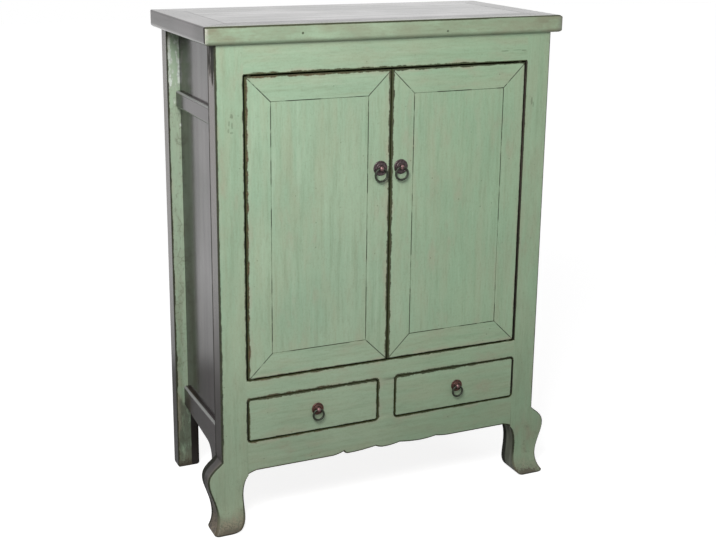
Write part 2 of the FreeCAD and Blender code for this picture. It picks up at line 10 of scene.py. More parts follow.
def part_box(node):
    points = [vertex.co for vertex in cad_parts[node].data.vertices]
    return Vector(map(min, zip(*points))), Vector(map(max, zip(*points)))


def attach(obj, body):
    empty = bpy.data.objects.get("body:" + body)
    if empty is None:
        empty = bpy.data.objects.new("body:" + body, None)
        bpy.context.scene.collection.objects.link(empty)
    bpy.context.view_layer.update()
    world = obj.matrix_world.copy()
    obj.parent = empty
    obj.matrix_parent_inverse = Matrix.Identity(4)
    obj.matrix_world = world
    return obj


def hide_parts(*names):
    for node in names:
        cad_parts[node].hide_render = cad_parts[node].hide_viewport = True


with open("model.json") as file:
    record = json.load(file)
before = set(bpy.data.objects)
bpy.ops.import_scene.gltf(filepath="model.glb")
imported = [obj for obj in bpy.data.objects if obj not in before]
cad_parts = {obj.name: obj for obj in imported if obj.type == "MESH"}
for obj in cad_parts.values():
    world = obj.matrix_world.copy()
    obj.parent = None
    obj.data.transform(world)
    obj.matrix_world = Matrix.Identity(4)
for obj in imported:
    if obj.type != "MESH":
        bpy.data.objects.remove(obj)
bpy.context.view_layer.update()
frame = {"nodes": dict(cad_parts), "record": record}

# Front legs: two cabriole legs that run on up as the front posts, each sawn from one timber.
# Sage-green lacquer is brushed over a dark ground on the front; the sides are black-brown.
# Use has taken the green off the arrises, so the ground shows there as ragged dark lines.
front_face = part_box("front_middle_rail")[0].y
frame_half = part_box("back_right_post")[1].x
opening_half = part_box("front_right_leg")[0].x
divider_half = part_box("drawer_divider")[1].x
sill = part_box("front_middle_rail")[1].z
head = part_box("front_top_rail")[0].z
leg_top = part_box("front_top_rail")[1].z
apron_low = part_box("front_apron")[0].z
drawer_low, drawer_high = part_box("right_drawer_front")
drawer_gap = opening_half - drawer_high.x
drawer_sill = drawer_low.z - drawer_gap
drawer_head = drawer_high.z + drawer_gap
DRAWER_CORNER = 0.006
DOOR_CORNER = 0.007
ear = DRAWER_CORNER + drawer_gap
drawer_edges = (drawer_sill + ear, drawer_head - ear)


class Outline(namedtuple("Outline", "left right bottom top corner")):
    """A rectangle on the front with rounded corners."""

    def past_corners(self, x, z):
        """How far a place is past the centres of the corners' rounds, across and up."""
        across = abs(x - (self.left + self.right) / 2) - (self.right - self.left) / 2 + self.corner
        up = abs(z - (self.bottom + self.top) / 2) - (self.top - self.bottom) / 2 + self.corner
        return across, up


front_openings = [Outline(-opening_half, opening_half, sill, head, DOOR_CORNER),
                  Outline(-opening_half, -divider_half, drawer_sill, drawer_head, ear),
                  Outline(divider_half, opening_half, drawer_sill, drawer_head, ear)]

# Radii of a leg's corners in plan, and the levels of its sections, which lie a hair either side of an edge
GAP_ARRIS = 0.0026
POST_ARRIS = 0.0055
TOE_ARRIS = 0.010
FULL_TOE_ARRIS = 0.022
BACK_ARRIS = 0.003
HEEL_ROUND = 0.022
HARD_ARRIS = 1e-5
CORNER_STEPS = 6
HOOF_HEIGHT = 0.075
HOOF_EASE = 1.5
INNER_RUNOUT = 0.012
HAIR = 0.0002
HOOF_LEVELS = (HAIR, 0.0012, 0.0025, 0.0045, 0.0068, 0.01, 0.014,
               0.019, 0.025, 0.032, 0.04, 0.05, 0.06, 0.07)
SHANK_STEP = 0.0085
SHANK_STEPS = 8
ankle_levels = [HOOF_LEVELS[-1] + SHANK_STEP * step for step in range(1, SHANK_STEPS + 1)]
knee_levels = [apron_low + SHANK_STEP * step for step in range(SHANK_STEPS + 1)]
edge_levels = [edge + shift for edge in (*drawer_edges, sill, head) for shift in (-HAIR, HAIR)]
leg_levels = sorted([*HOOF_LEVELS, *ankle_levels, *knee_levels, *edge_levels, leg_top - HAIR])


def node_shape(node):
    """A copy of a node's mesh that can be cut."""
    shape = bmesh.new()
    shape.from_mesh(frame["nodes"][node].data)
    return shape


def cut_edges(shape, point, across, **settings):
    """Cuts a shape at a plane and returns the edges that the cut makes."""
    everything = [*shape.verts, *shape.edges, *shape.faces]
    made = bmesh.ops.bisect_plane(shape, geom=everything, plane_co=point, plane_no=across, **settings)
    return [part for part in made["geom_cut"] if isinstance(part, bmesh.types.BMEdge)]


def section_box(node, height):
    """A leg's extent in plan at one height, read from its own mesh."""
    shape = node_shape(node)
    points = [vert.co.copy() for edge in cut_edges(shape, (0, 0, height), (0, 0, 1)) for vert in edge.verts]
    shape.free()
    xs = [point.x for point in points]
    ys = [point.y for point in points]
    return min(xs), max(xs), min(ys), max(ys)


def rounded_loop(extent, radii, height):
    """A rectangle in plan with its own radius on each corner, as one closed loop of places."""
    left, right, near, far = extent
    corners = [(left, near, 1, 1), (right, near, -1, 1), (right, far, -1, -1), (left, far, 1, -1)]
    loop = []
    for turn, ((x, y, into_x, into_y), radius) in enumerate(zip(corners, radii)):
        centre_x = x + into_x * radius
        centre_y = y + into_y * radius
        for step in range(CORNER_STEPS + 1):
            angle = math.pi + math.pi / 2 * (turn + step / CORNER_STEPS)
            loop.append((centre_x + radius * math.cos(angle), centre_y + radius * math.sin(angle), height))
    return loop


def leg_corners(height, inner_toe):
    """A leg's radii at one height: front outer, front inner, back inner and back outer."""
    softness = max(0.0, 1 - height / HOOF_HEIGHT) ** HOOF_EASE
    outer = POST_ARRIS + (TOE_ARRIS - POST_ARRIS) * softness
    if drawer_edges[0] < height < drawer_edges[1] or sill < height < head:
        inner = GAP_ARRIS
    else:
        runout = min(1.0, max(0.0, (apron_low - height) / INNER_RUNOUT))
        inner = (POST_ARRIS + (inner_toe - POST_ARRIS) * softness) * runout
    back_inner = BACK_ARRIS if height < apron_low else HARD_ARRIS
    back_outer = BACK_ARRIS + HEEL_ROUND * softness
    return outer, max(inner, HARD_ARRIS), back_inner, back_outer


def worn_leg(node, sign, inner_toe):
    """A leg drawn through its sections: a hard post above, an ever softer hoof below."""
    loops = []
    for height in leg_levels:
        outer, inner, back_inner, back_outer = leg_corners(height, inner_toe)
        left_leg = (outer, inner, back_inner, back_outer)
        right_leg = (inner, outer, back_outer, back_inner)
        loops.append(rounded_loop(section_box(node, height), left_leg if sign < 0 else right_leg, height))
    count = len(loops[0])
    last = (len(loops) - 1) * count
    faces = [tuple(range(count))[::-1], tuple(range(last, last + count))]
    for ring in range(0, last, count):
        for spot in range(count):
            after = (spot + 1) % count
            faces.append((ring + spot, ring + after, ring + count + after, ring + count + spot))
    mesh = bpy.data.meshes.new(node + "_worn")
    mesh.from_pydata([point for loop in loops for point in loop], [], faces)
    return mesh


body_of_node = {}
for body, nodes in frame["record"]["behaviour"]["bodies"].items():
    body_of_node.update(dict.fromkeys(nodes, body))
SHARP_ANGLE = math.radians(28)


def stand_in(node, mesh, finish):
    """Puts a worn mesh in a node's stead, on the node's own body and with the given finish."""
    mesh.shade_smooth()
    mesh.set_sharp_from_angle(angle=SHARP_ANGLE)
    mesh.materials.append(finish)
    piece = bpy.data.objects.new(node + "_worn", mesh)
    bpy.context.collection.objects.link(piece)
    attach(piece, body_of_node[node])
    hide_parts(node)
    return piece


def lead_with_flats(piece):
    """Lets the flat faces lead the shading beside a rounded arris."""
    weighted = piece.modifiers.new("flat_faces_lead", "WEIGHTED_NORMAL")
    weighted.keep_sharp = True


# Sockets of the Mix node that mixes colours
MIX_COVER = 0
MIX_UNDER = 6
MIX_TOP = 7
MIX_COLOUR = 2


class Strand:
    """A shader socket that takes part in sums like a number."""

    def __init__(self, tree, socket=None):
        self.tree = tree
        self.socket = socket

    def make(self, kind, settings=None, sockets=None, output=0):
        """Adds a node: its settings first, then a value or a link for each of its sockets."""
        node = self.tree.nodes.new("ShaderNode" + kind)
        for name, value in (settings or {}).items():
            setattr(node, name, value)
        for name, value in (sockets or {}).items():
            if isinstance(value, Strand):
                self.tree.links.new(value.socket, node.inputs[name])
            else:
                node.inputs[name].default_value = value
        return Strand(self.tree, node.outputs[output])

    def math(self, operation, *terms):
        """Adds a Math node for one operation on values and strands."""
        return self.make("Math", {"operation": operation}, dict(enumerate(terms)))

    def __add__(self, other):
        return self.math("ADD", self, other)

    def __sub__(self, other):
        return self.math("SUBTRACT", self, other)

    def __rsub__(self, other):
        return self.math("SUBTRACT", other, self)

    def __mul__(self, other):
        return self.math("MULTIPLY", self, other)

    def __truediv__(self, other):
        return self.math("DIVIDE", self, other)

    def __neg__(self):
        return self.math("MULTIPLY", self, -1.0)

    def __abs__(self):
        return self.math("ABSOLUTE", self)

    __radd__ = __add__
    __rmul__ = __mul__

    def least(self, other):
        return self.math("MINIMUM", self, other)

    def most(self, other):
        return self.math("MAXIMUM", self, other)

    def root(self):
        return self.math("SQRT", self)

    def sine(self):
        return self.math("SINE", self)

    def rise(self, low, high):
        """Eases from 0 at low to 1 at high."""
        return self.make("MapRange", {"interpolation_type": "SMOOTHSTEP"},
                         {"Value": self, "From Min": low, "From Max": high})

    def over(self, under, top):
        """Lays one colour on another, with this strand as its cover."""
        layers = {MIX_COVER: self, MIX_UNDER: under, MIX_TOP: top}
        return self.make("Mix", {"data_type": "RGBA"}, layers, MIX_COLOUR)

    def noise(self, waves, detail=3.0, rough=0.55):
        """Noise on this place vector, in waves per metre along X, Y and Z."""
        place = self.make("VectorMath", {"operation": "MULTIPLY"}, {0: self, 1: waves})
        sockets = {"Vector": place, "Scale": 1.0, "Detail": detail, "Roughness": rough}
        return self.make("TexNoise", {}, sockets)


class Surface:
    """A new material, with the place and the facing that its colours follow."""

    def __init__(self, name):
        self.material = bpy.data.materials.new(name)
        self.material.use_nodes = True
        self.shader = self.material.node_tree.nodes["Principled BSDF"]
        strand = Strand(self.material.node_tree)
        self.place = strand.make("TexCoord", output="Object")
        facing = strand.make("TexCoord", output="Normal")
        self.x, self.y, self.z = [strand.make("SeparateXYZ", {}, {0: self.place}, axis) for axis in range(3)]
        self.nx, self.ny, self.nz = [strand.make("SeparateXYZ", {}, {0: facing}, axis) for axis in range(3)]

    def bump(self, relief, strength, depth):
        """Turns a relief into normals, its depth in metres."""
        return self.place.make("Bump", {}, {"Strength": strength, "Distance": depth, "Height": relief})

    def feed(self, **inputs):
        """Links or sets the shader's inputs, named with underscores for spaces, and returns the material."""
        for name, value in inputs.items():
            socket = self.shader.inputs[name.replace("_", " ")]
            if isinstance(value, Strand):
                value.tree.links.new(value.socket, socket)
            else:
                socket.default_value = value
        return self.material


# Distances from an outline's top and bottom over which a worn line changes its width; the extra width at the
# top is painted shade in the gap under the part above
LINE_TURN = (0.004, 0.009)


def outline_distance(x, z, outlines, width=None):
    """How far a place on the front is from the nearest outline.

    A line's width, where given, is taken off: all of it at the top, less at the sides, least at the bottom;
    the wider top line is worn edge and painted shade together.
    """
    nearest = None
    for outline in outlines:
        across, up = outline.past_corners(x, z)
        past_x = across.most(0.0)
        past_z = up.most(0.0)
        rounded = (past_x * past_x + past_z * past_z).root() - outline.corner
        distance = abs(rounded + across.most(up).least(0.0))
        if width is not None:
            near, far = LINE_TURN
            at_bottom = 1 - z.rise(outline.bottom + near, outline.bottom + far)
            at_top = z.rise(outline.top - far, outline.top - near)
            # painted shade: the worn line runs widest along an outline's top, where the gap lies in shade
            distance = distance - width * (0.8 + 0.2 * at_top - 0.25 * at_bottom)
        nearest = distance if nearest is None else nearest.least(distance)
    return nearest


# Colours of the green lacquer, of dirt on it and of the ground under it
GREEN = (0.355, 0.475, 0.325, 1)
GREEN_COOL = (0.305, 0.44, 0.30, 1)
GREEN_DEEP = (0.25, 0.345, 0.225, 1)
GREEN_PALE = (0.405, 0.53, 0.375, 1)
GREEN_DEEPER_RIGHT = (0.275, 0.455, 0.262, 1)
GREEN_RUBBED = (0.375, 0.40, 0.27, 1)
RUBBED_PINK = (0.40, 0.355, 0.26, 1)
GRIME = (0.20, 0.175, 0.115, 1)
GROUND_BROWN = (0.115, 0.075, 0.036, 1)
GROUND_OLIVE = (0.03, 0.038, 0.012, 1)
GROUND_BLACK = (0.014, 0.018, 0.006, 1)
ALONG_GRAIN = {"upright": (1.0, 1.0, 0.16), "level": (0.16, 1.0, 1.0)}
BRUSH_STROKES = {"upright": (85, 85, 5), "level": (5, 85, 85)}
# Stretches across the front and up it over which the colour, the wear and the painted shade change, and
# distances from a worn line
DEEPER_GREEN_TO_RIGHT = (-0.1, 0.25)
COLD_TO_RIGHT = (-0.4, 0.15)
THIN_TO_RIGHT = (0.2, 0.3)
DIRT_HEIGHT = (0.08, 0.55)
PAINTED_SHADE_HEIGHT = (0.1, 0.6)
LINE_EDGE = (-0.0006, 0.001)
LINE_BROWN = (0.0004, 0.0024)
LINE_STAIN = (0.0, 0.012)


class GreenLacquer(Surface):
    """Green lacquer on one piece: its coat, laid layer by layer, and the noises that its wear follows."""

    def __init__(self, name, grain, tan=0.0):
        super().__init__(name)
        along = ALONG_GRAIN[grain]
        self.fine = self.place.noise([230 * share for share in along], 4.0, 0.65)
        self.streak = self.place.noise([38 * share for share in along], 2.0, 0.5)
        self.patch = self.place.noise([20 * share + 9 for share in along], 4.0, 0.6)
        self.ragged = self.place.noise((30, 30, 30), 4.0, 0.65)
        self.nick = self.place.noise((230, 230, 230), 3.0, 0.6)
        blush = self.place.noise((6.5, 6.5, 5.0), 2.0, 0.5)
        cloud = self.place.noise((3.4, 3.4, 3.4), 3.0, 0.55)
        brushed = self.place.noise(BRUSH_STROKES[grain], 4.0, 0.6)
        self.coat = cloud.rise(0.35, 0.65).over(GREEN, GREEN_COOL)
        self.lay(brushed.rise(0.5, 0.72) * 0.55, GREEN_DEEP)
        self.lay((1 - brushed.rise(0.28, 0.48)) * 0.5, GREEN_PALE)
        # a deeper, darker green towards the right
        self.lay(self.x.rise(*DEEPER_GREEN_TO_RIGHT) * 0.3, GREEN_DEEPER_RIGHT)
        self.lay(self.streak.rise(0.4, 0.75) * 0.35, GREEN_RUBBED)
        self.lay(self.patch.rise(0.48, 0.74) * (0.08 + 0.42 * blush.rise(0.42, 0.65)), RUBBED_PINK)
        self.lay(tan * self.patch.rise(0.2, 0.6), GRIME)
        self.lay(blush.rise(0.35, 0.7) * 0.16, GREEN_DEEP)

    def lay(self, cover, colour):
        """Lays a colour on the coat, as thick as its cover."""
        self.coat = cover.over(self.coat, colour)

    def scuff(self):
        """Scratches the coat finely, dirties it towards the floor, paints shade on it near the floor and
        flecks it where it is patchy.
        """
        self.lay(self.fine.rise(0.45, 0.75) * 0.15, GROUND_BROWN)
        self.lay(self.nick.rise(0.45, 0.8) * 0.13, GROUND_BROWN)
        self.lay((1 - self.z.rise(*DIRT_HEIGHT)) * (0.1 + 0.12 * self.patch), GRIME)
        # painted shade: the coat darkens towards the floor
        self.lay((1 - self.z.rise(*PAINTED_SHADE_HEIGHT)) * 0.08, GROUND_OLIVE)
        fleck = self.place.make("TexVoronoi", {"feature": "F1"}, {"Vector": self.place, "Scale": 42.0})
        self.lay((1 - fleck.rise(0.05, 0.1)) * self.patch.rise(0.46, 0.6) * 0.4, GROUND_OLIVE)

    def mark(self, marks):
        """Scrapes the coat in known places: across, up, half the width, half the height and the depth."""
        for across, up, half_width, half_height, depth in marks:
            off_x = (self.x - across) / half_width
            off_z = (self.z - up) / half_height
            off = (off_x * off_x + off_z * off_z).root() + (self.nick - 0.5) * 1.2
            self.lay((1 - off.rise(0.6, 1.1)) * depth, GROUND_OLIVE)

    def wear_lines(self, outlines, width=0.0018, waver=0.003, fringe=1.0):
        """Rubs the green off along the outlines, with a browned and stained fringe beside the bare line."""
        self.line = width + self.ragged.rise(0.36, 0.7) * waver + (self.nick - 0.5) * waver
        self.line = self.line * (1 - 0.4 * self.x.rise(*THIN_TO_RIGHT))
        distance = outline_distance(self.x, self.z, outlines, self.line)
        warm = (1 - self.x.rise(*COLD_TO_RIGHT)) * self.ragged.rise(0.38, 0.6) * fringe
        patchy = (0.05 + 0.35 * self.patch.rise(0.45, 0.65)) * fringe
        self.lay((1 - distance.rise(*LINE_STAIN)) * patchy, RUBBED_PINK)
        self.lay((1 - distance.rise(*LINE_BROWN)) * (0.1 + 0.6 * warm), GROUND_BROWN)
        self.bare = 1 - distance.rise(*LINE_EDGE)
        self.ground = (warm * 0.85).over(GROUND_OLIVE, GROUND_BROWN)
        self.ground = (self.nick.rise(0.42, 0.6) * 0.6).over(self.ground, GROUND_BLACK)

    def finish(self, aside, flank, dull=0.0):
        """Bares the ground, turns to the flank's colour where a place faces aside, and feeds the shader."""
        self.lay(self.bare * 0.97, self.ground)
        self.lay(aside, flank)
        rough = 0.5 - aside * 0.3 + self.bare * (1 - aside) * 0.3 + dull + (self.patch - 0.5) * 0.2
        relief = self.fine * 0.3 + self.nick * 0.2 - self.bare * 1.2
        bump = self.bump(relief, strength=0.35, depth=0.0012)
        return self.feed(Base_Color=self.coat, Roughness=rough, Normal=bump, IOR=1.48)


ARRIS_BLACK = (0.006, 0.007, 0.003, 1)
SIDE_BLACK = (0.02, 0.016, 0.014, 1)
SIDE_BROWN = (0.11, 0.09, 0.077, 1)
KNEE_BROWN = (0.14, 0.118, 0.09, 1)
INNER_GREEN = (0.11, 0.12, 0.09, 1)
INNER_PALE = (0.27, 0.29, 0.23, 1)
TOE_BROWN = (0.2, 0.16, 0.11, 1)
TOE_DARK = (0.055, 0.043, 0.027, 1)
# Heights over the floor between which a leg's wear changes
TOE_SCRAPED = (0.006, 0.02)
TOE_RUBBED = (0.012, 0.062)
TOE_GREEN = (0.02, 0.075)
HOOF_RUSTY = (0.03, 0.1)
INNER_TOP = (0.13, 0.15)
SHANK_TOP = (0.16, 0.2)
KNEE_TOP = (0.17, 0.2)
RIM_FOOT = (0.2, 0.24)
RIM_THINS = (0.3, 0.7)
SIDE_LIGHTENS = (0.25, 1.0)
SIDE_POLISHED = (0.2, 0.8)
SIDE_SCUFFED = (1.06, 1.1)
# Distances from a leg's outer side and from its back, and the stretch where the right toe is cleaner
RIM_EDGE = (0.0015, 0.004)
BACK_DARKENS = (-0.012, -0.004)
INNER_SCUFFED = (-0.02, -0.01)
KNEE_RUBBED = (-0.05, -0.02)
KNEE_DARK_FORWARD = 0.012
RIGHT_TOE = (0.35, 0.4)


def toe_rust(lacquer):
    """The stained brown of a toe that has stood on damp floors."""
    return (lacquer.nick * 0.6 + lacquer.patch * 0.4).rise(0.42, 0.58).over(TOE_BROWN, TOE_DARK)


def wear_upright(lacquer, rust, toe_cover):
    """Wears a leg's or post's toe and its corners, and returns where it faces aside."""
    x, z, nx, ny = lacquer.x, lacquer.z, lacquer.nx, lacquer.ny
    patch = lacquer.patch - 0.5
    nick = lacquer.nick - 0.5
    ragged = lacquer.ragged - 0.5
    rubbed = 1 - (z + patch * 0.05 + nick * 0.02).rise(*TOE_RUBBED)
    lacquer.lay(rubbed * toe_cover, rust)
    scraped = 1 - (z + nick * 0.05 + ragged * 0.05).rise(*TOE_SCRAPED)
    lacquer.lay(scraped * 0.85, TOE_DARK)
    ahead = -ny / (nx * nx + ny * ny).root() + ragged * 0.14 + nick * 0.1
    lacquer.lay((1 - ahead.rise(0.9, 0.995)) * 0.35, GROUND_BROWN)
    low_turn = ahead - (1 - z.rise(*SHANK_TOP)) * 0.03
    turned = (1 - low_turn.rise(0.86, 0.965)) * (0.3 + 0.7 * z.rise(*TOE_GREEN))
    rim = frame_half - abs(x) - lacquer.line * (0.8 - 0.35 * z.rise(*RIM_THINS))
    rim_bare = (1 - rim.rise(*RIM_EDGE)) * z.rise(*RIM_FOOT)
    lacquer.bare = lacquer.bare.most(turned).most(rim_bare)
    lacquer.ground = lacquer.nick.rise(0.3, 0.75).over(ARRIS_BLACK, GROUND_OLIVE)
    return 1 - ahead.rise(0.02, 0.2)


# Old scrapes: places across and up, half widths, half heights and depths
LEG_MARKS = {"left": [(-0.3967, 1.0214, 0.004, 0.006, 0.4), (-0.4029, 1.005, 0.0025, 0.007, 0.3),
                      (-0.3959, 1.0, 0.0022, 0.009, 0.35), (-0.4043, 0.989, 0.0025, 0.006, 0.3),
                      (-0.3973, 0.984, 0.004, 0.003, 0.3)],
             "right": [(0.3866, 1.0109, 0.003, 0.012, 0.4), (0.3915, 1.003, 0.002, 0.008, 0.35)]}
post_back = section_box("front_right_leg", (sill + head) / 2)[3]


def leg_lacquer(side):
    """A front leg's finish: green ahead, streaked black-brown aside, darkened under the top and towards the
    back.
    """
    lacquer = GreenLacquer(side + "_leg_lacquer", "upright", tan=0.1)
    lacquer.scuff()
    lacquer.mark(LEG_MARKS[side])
    lacquer.wear_lines(front_openings, fringe=0.3)
    x, z, behind = lacquer.x, lacquer.z, lacquer.y - post_back
    streak, patch, ragged = lacquer.streak, lacquer.patch, lacquer.ragged
    rust = toe_rust(lacquer)
    aside = wear_upright(lacquer, rust, toe_cover=0.9 - 0.4 * x.rise(*RIGHT_TOE))
    inward = (-x * lacquer.nx).rise(0.28, 0.37) * (1 - z.rise(*INNER_TOP))
    knee = 1 - z.rise(*KNEE_TOP)
    inner_edge = inward * behind.rise(*INNER_SCUFFED)
    # the side darkens towards its back edge, further forward at the knee
    behind = behind + knee * KNEE_DARK_FORWARD
    back_edge = behind.rise(*BACK_DARKENS) * (0.5 + 0.5 * ragged.rise(0.3, 0.5)).most(knee)
    under_top = z.rise(*SIDE_SCUFFED) * (streak + (patch - 0.5) * 0.5).rise(0.42, 0.56)
    darkened_aside = under_top.most(back_edge).most(inner_edge) * aside
    flank = z.rise(*SIDE_LIGHTENS).over(SIDE_BLACK, SIDE_BROWN)
    flank = (streak.rise(0.35, 0.7) * 0.4).over(flank, SIDE_BLACK)
    flank = (knee * (1 - behind.rise(*KNEE_RUBBED)) * (0.4 + patch * 0.6)).over(flank, KNEE_BROWN)
    flank = ((1 - (z + (patch - 0.5) * 0.08).rise(*HOOF_RUSTY)) * 0.85).over(flank, rust)
    flank = inward.over(flank, streak.rise(0.3, 0.7).over(INNER_GREEN, INNER_PALE))
    flank = (darkened_aside * 0.95).over(flank, ARRIS_BLACK)
    flank = lacquer.ny.rise(0.1, 0.4).over(flank, GROUND_BLACK)
    dull = darkened_aside * 0.7 + (1 - z.rise(*SIDE_POLISHED)) * aside * 0.2
    return lacquer.finish(aside, flank, dull)


for side, sign, inner_toe in (("left", -1, FULL_TOE_ARRIS), ("right", 1, POST_ARRIS)):
    node = "front_" + side + "_leg"
    leg = stand_in(node, worn_leg(node, sign, inner_toe), leg_lacquer(side))
    lead_with_flats(leg)

# Front rails, drawer divider and apron: flat boards tenoned between the legs, the apron sawn to a shape.
# The same green lacquer runs across them, worn bare along the openings and under the edges.
WIDEST_ARRIS = 0.02
ARRIS_STEPS = 3
FLAT_ANGLE = math.radians(0.3)
SAME_PLACE = 1e-6


def softened(node, finish, width_of, cuts=(), clips=()):
    """Stands in a copy of a node with each sharp edge rounded by width_of(its middle).

    The copy is first cut at some planes, so that an edge can change its width there, and clipped at others.
    """
    shape = node_shape(node)
    bmesh.ops.remove_doubles(shape, verts=shape.verts, dist=SAME_PLACE)
    for point, across in cuts:
        for edge in cut_edges(shape, point, across):
            edge.seam = True
    for point, outward in clips:
        rim = cut_edges(shape, point, outward, clear_outer=True)
        bmesh.ops.edgeloop_fill(shape, edges=rim)
    if clips:
        bmesh.ops.recalc_face_normals(shape, faces=shape.faces)
    bmesh.ops.dissolve_limit(shape, angle_limit=FLAT_ANGLE, verts=shape.verts, edges=shape.edges,
                             delimit={"SEAM"})
    weight = shape.edges.layers.float.new("bevel_weight_edge")
    for edge in shape.edges:
        if len(edge.link_faces) == 2 and edge.calc_face_angle() > SHARP_ANGLE:
            middle = (edge.verts[0].co + edge.verts[1].co) / 2
            edge[weight] = width_of(middle) / WIDEST_ARRIS
    mesh = bpy.data.meshes.new(node + "_worn")
    shape.to_mesh(mesh)
    shape.free()
    old_normals = mesh.attributes.get("custom_normal")
    if old_normals:
        mesh.attributes.remove(old_normals)
    piece = stand_in(node, mesh, finish)
    arris = piece.modifiers.new("arris", "BEVEL")
    arris.limit_method = "WEIGHT"
    arris.width = WIDEST_ARRIS
    arris.segments = ARRIS_STEPS
    arris.use_clamp_overlap = False
    lead_with_flats(piece)


NEAR_FACE = 1e-4


def on_outline(point, outlines, slack=2e-4):
    """Whether a point of the front face lies on one of the outlines."""
    if point.y > front_face + NEAR_FACE:
        return False
    for outline in outlines:
        across, up = outline.past_corners(point.x, point.z)
        rounded = math.hypot(max(across, 0.0), max(up, 0.0)) - outline.corner
        if abs(rounded + min(max(across, up), 0.0)) < slack:
            return True
    return False


square_openings = [opening._replace(corner=0.0) for opening in front_openings]
APRON_ARRIS = 0.0045
APRON_BELOW_DRAWERS = 0.05


def front_arris(point):
    """Rounds the straight edges of the openings, and leaves the small ears in their corners sharp."""
    beside_ear = drawer_sill < point.z < drawer_edges[0] or drawer_edges[1] < point.z < drawer_head
    return GAP_ARRIS if on_outline(point, square_openings, slack=2e-5) and not beside_ear else 0.0


def apron_arris(point):
    """Rounds the apron's shaped lower edge too."""
    lower_edge = point.z < drawer_sill - APRON_BELOW_DRAWERS and point.y < front_face + NEAR_FACE
    return APRON_ARRIS if lower_edge else front_arris(point)


EDGE_OLIVE = (0.078, 0.094, 0.038, 1)
EDGE_DARKENS = (front_face + 0.004, front_face + 0.015)
UNDER_EDGE_OLIVE = (0.5, 0.6)


def board_finish(lacquer, turn=(0.3, 0.55)):
    """Finishes a board of the front: olive where its edge turns back, black-brown further in."""
    aside = 1 - (-lacquer.ny).rise(*turn)
    flank = lacquer.y.rise(*EDGE_DARKENS).over(EDGE_OLIVE, SIDE_BLACK)
    return lacquer.finish(aside, flank)


def rail_finish(name, tan, marks=(), fringe=1.0):
    """Green lacquer on a level board of the frame, worn bare and painted with shade where it faces down."""
    lacquer = GreenLacquer(name, "level", tan)
    lacquer.scuff()
    lacquer.mark(marks)
    lacquer.wear_lines(front_openings, fringe=fringe)
    # worn bare and painted shade on the faces that turn down
    below = (-lacquer.nz + (lacquer.ragged - 0.5) * 0.2).rise(0.08, 0.3)
    lacquer.bare = lacquer.bare.most(below)
    lacquer.ground = (below * lacquer.z.rise(*UNDER_EDGE_OLIVE)).over(lacquer.ground, EDGE_OLIVE)
    return board_finish(lacquer)


RAIL_MARKS = [(0.3034, 1.1386, 0.012, 0.0012, 0.5), (0.338, 1.1398, 0.016, 0.001, 0.4),
              (0.357, 1.1385, 0.008, 0.0012, 0.5), (-0.335, head + 0.003, 0.02, 0.0035, 0.7),
              (-0.297, head + 0.004, 0.013, 0.0025, 0.6)]
rail_lacquer = rail_finish("rail_lacquer", tan=0.06, marks=RAIL_MARKS, fringe=0.7)
apron_lacquer = rail_finish("apron_lacquer", tan=0.08)
divider_cuts = [((x, 0, 0), (1, 0, 0)) for x in (-divider_half, divider_half)]
ear_cuts = [((0, 0, z), (0, 0, 1)) for z in drawer_edges]
softened("front_top_rail", rail_lacquer, front_arris, divider_cuts)
softened("front_middle_rail", rail_lacquer, front_arris, divider_cuts)
softened("drawer_divider", rail_lacquer, front_arris, ear_cuts)
softened("front_apron", apron_lacquer, apron_arris, divider_cuts)

# Back posts: straight square timbers, mortised for the side and back rails and grooved for the panels.
# Their front faces carry the green, mottled and crackled, with painted light and glints towards the top and
# painted shade at the foot; the rest is black-brown lacquer.
POST_PAINTED_LIGHT = (0.46, 0.58, 0.44, 1)
PAINTED_GLINT = (0.72, 0.78, 0.72, 1)
FOOT_PAINTED_SHADE = (0.07, 0.08, 0.055, 1)
# Places out from the middle and heights over the floor between which a post's wear, painted light and
# painted shade change
OUTER_EDGE = (0.412, 0.418)
PAINTED_LIGHT_HEIGHT = (0.3, 0.6)
PAINTED_GLINT_HEIGHT = (0.85, 0.95)
PAINTED_GLINT_MORE = (0.9, 1.12)
PAINTED_SHADE_FOOT_HEIGHT = (0.1, 0.34)
# Ends of an outline that are out of the way, and sizes of the post's corners and groove
BELOW_FLOOR = -1
ABOVE_TOP = 3
POST_CORNER = 0.003
GROOVE_ROOM = 0.002
GROOVE_SEAM = 0.001
post_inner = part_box("back_right_post")[0].x
groove_low, groove_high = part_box("right_upper_side_panel")
groove_middle = (groove_low.x + groove_high.x) / 2


def post_arris(point):
    """Rounds the post's own corners, and leaves the groove that holds the panel sharp."""
    in_groove = groove_low.x - GROOVE_ROOM < abs(point.x) < groove_high.x + GROOVE_ROOM
    return 0.0 if in_groove else POST_CORNER


